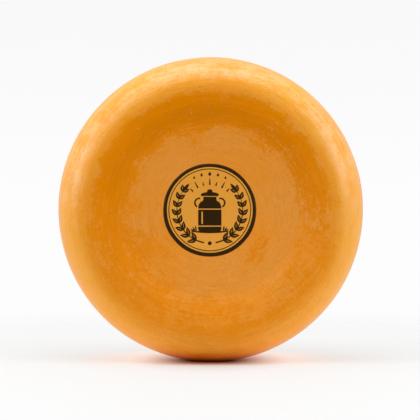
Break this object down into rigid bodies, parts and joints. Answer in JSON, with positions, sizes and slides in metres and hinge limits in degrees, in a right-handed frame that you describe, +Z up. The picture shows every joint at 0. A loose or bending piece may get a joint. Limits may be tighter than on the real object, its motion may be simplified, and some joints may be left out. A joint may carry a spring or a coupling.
{
  "type": "cheese wheel",
  "caption": "Whole round of farmhouse cheese in an amber coat, with a rounded side and dished faces, standing on its rim, a round paper label on its front face.",
  "frame": {"origin": "on the surface that the wheel stands on, in the middle of the small flat on its rim that it rests on", "axes": "+Z up, Y along the wheel's own axis with the labelled face towards -Y, +X to the right as the label is looked at"},
  "size_m": [0.3298, 0.112, 0.3284],
  "materials": {
    "rind_coat": "satin",
    "label_paper": "satin",
    "label_ink": "satin"
  },
  "bodies": {
    "root": {"cheese_wheel": "rind_coat", "label": "label_paper"}
  },
  "joints": []
}
